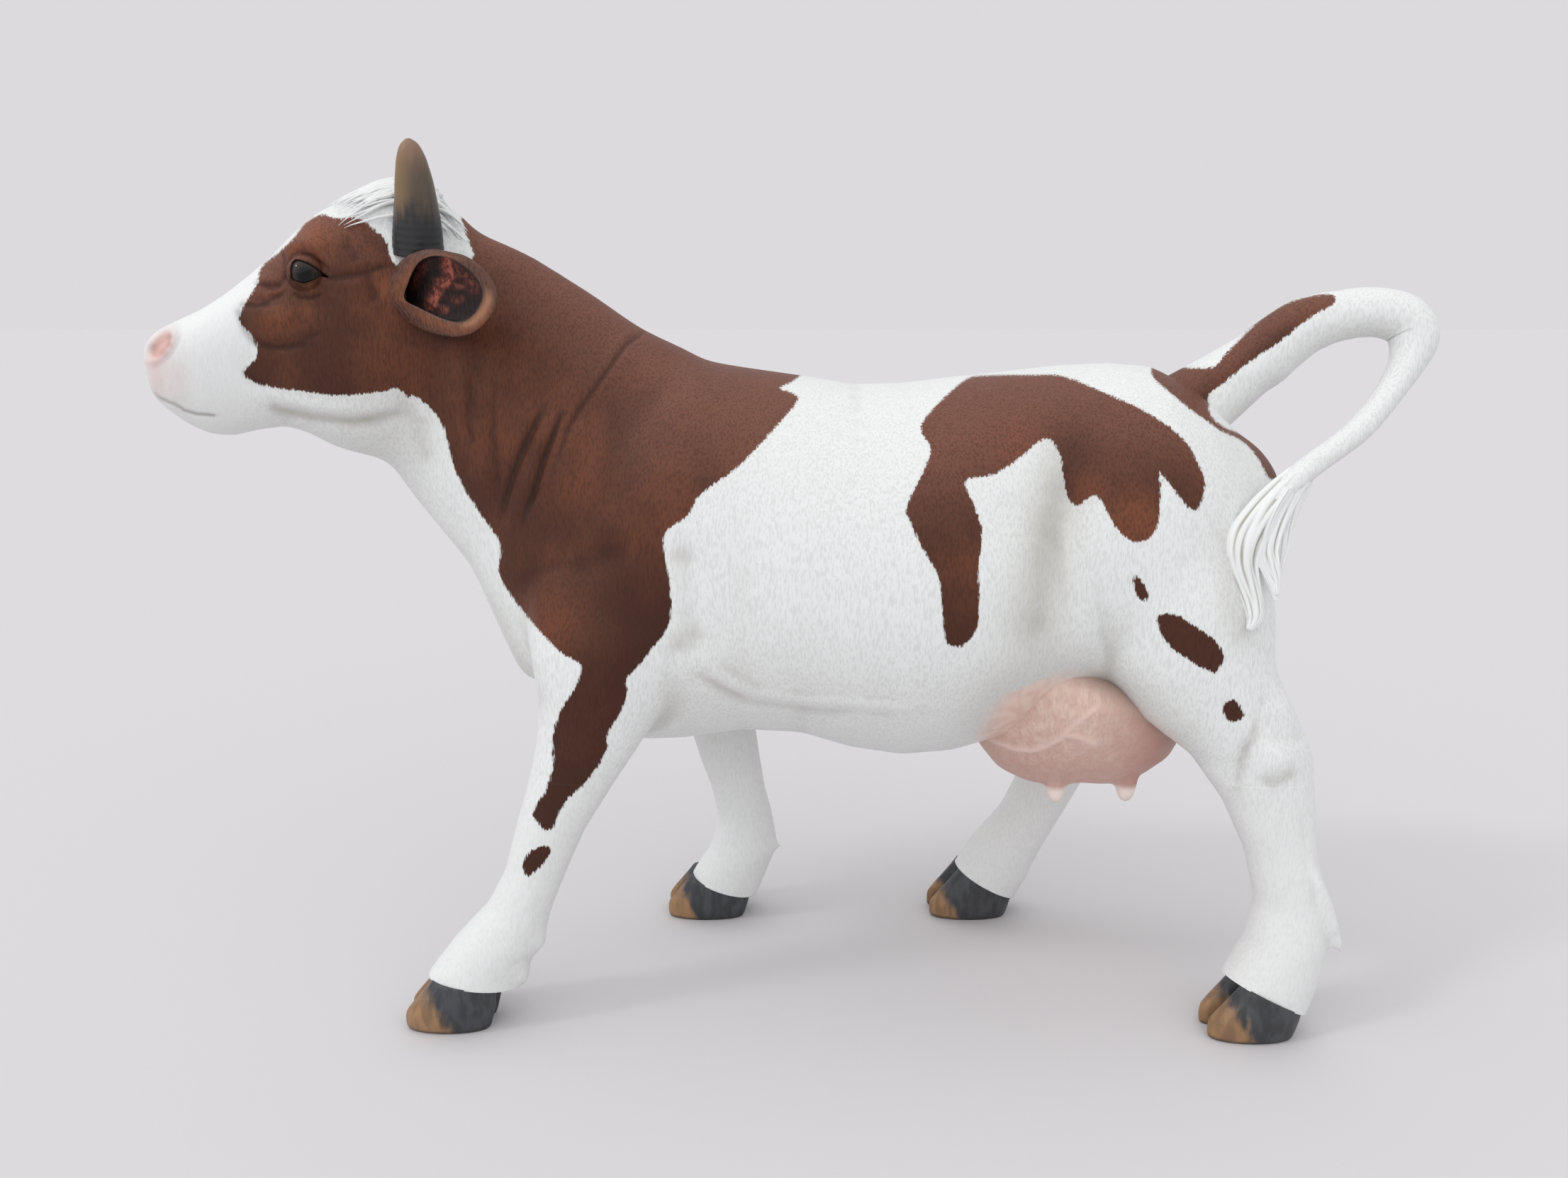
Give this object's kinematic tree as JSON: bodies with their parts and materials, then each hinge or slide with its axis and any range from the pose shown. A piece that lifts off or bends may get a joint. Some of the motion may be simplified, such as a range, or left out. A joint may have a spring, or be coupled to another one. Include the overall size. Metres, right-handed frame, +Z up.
{
  "type": "cow figurine",
  "caption": "Standing cow figurine in mid-step with curved horns, cupped ears, full udder and raised looped tail; painted resin castings pinned and bonded over steel rods",
  "frame": {"origin": "on the floor under the middle of the bounding box", "axes": "cow faces -X, its left flank faces -Y, +Z up"},
  "size_m": [0.2919, 0.0802, 0.2029],
  "materials": {
    "hide_resin": "white resin with hand-painted red-brown patches, satin",
    "horn_resin": "grey at the base to tan at the tip, satin",
    "hoof_resin": "slate grey with tan-brown toes, satin",
    "udder_resin": "pink, satin",
    "eye_bead": "dark, high gloss",
    "steel_rod": "drawn wire, bare"
  },
  "bodies": {
    "root": {"torso": "hide_resin", "head_neck": "hide_resin", "front_left_leg": "hide_resin", "front_right_leg": "hide_resin", "hind_left_leg": "hide_resin", "hind_right_leg": "hide_resin", "tail": "hide_resin", "ear_left": "hide_resin", "ear_right": "hide_resin", "horn_left": "horn_resin", "horn_right": "horn_resin", "front_left_hoof": "hoof_resin", "front_right_hoof": "hoof_resin", "hind_left_hoof": "hoof_resin", "hind_right_hoof": "hoof_resin", "udder": "udder_resin", "eye_left": "eye_bead", "eye_right": "eye_bead", "front_left_rod": "steel_rod", "front_right_rod": "steel_rod", "hind_left_rod": "steel_rod", "hind_right_rod": "steel_rod", "neck_pin": "steel_rod", "tail_pin": "steel_rod"}
  },
  "joints": []
}
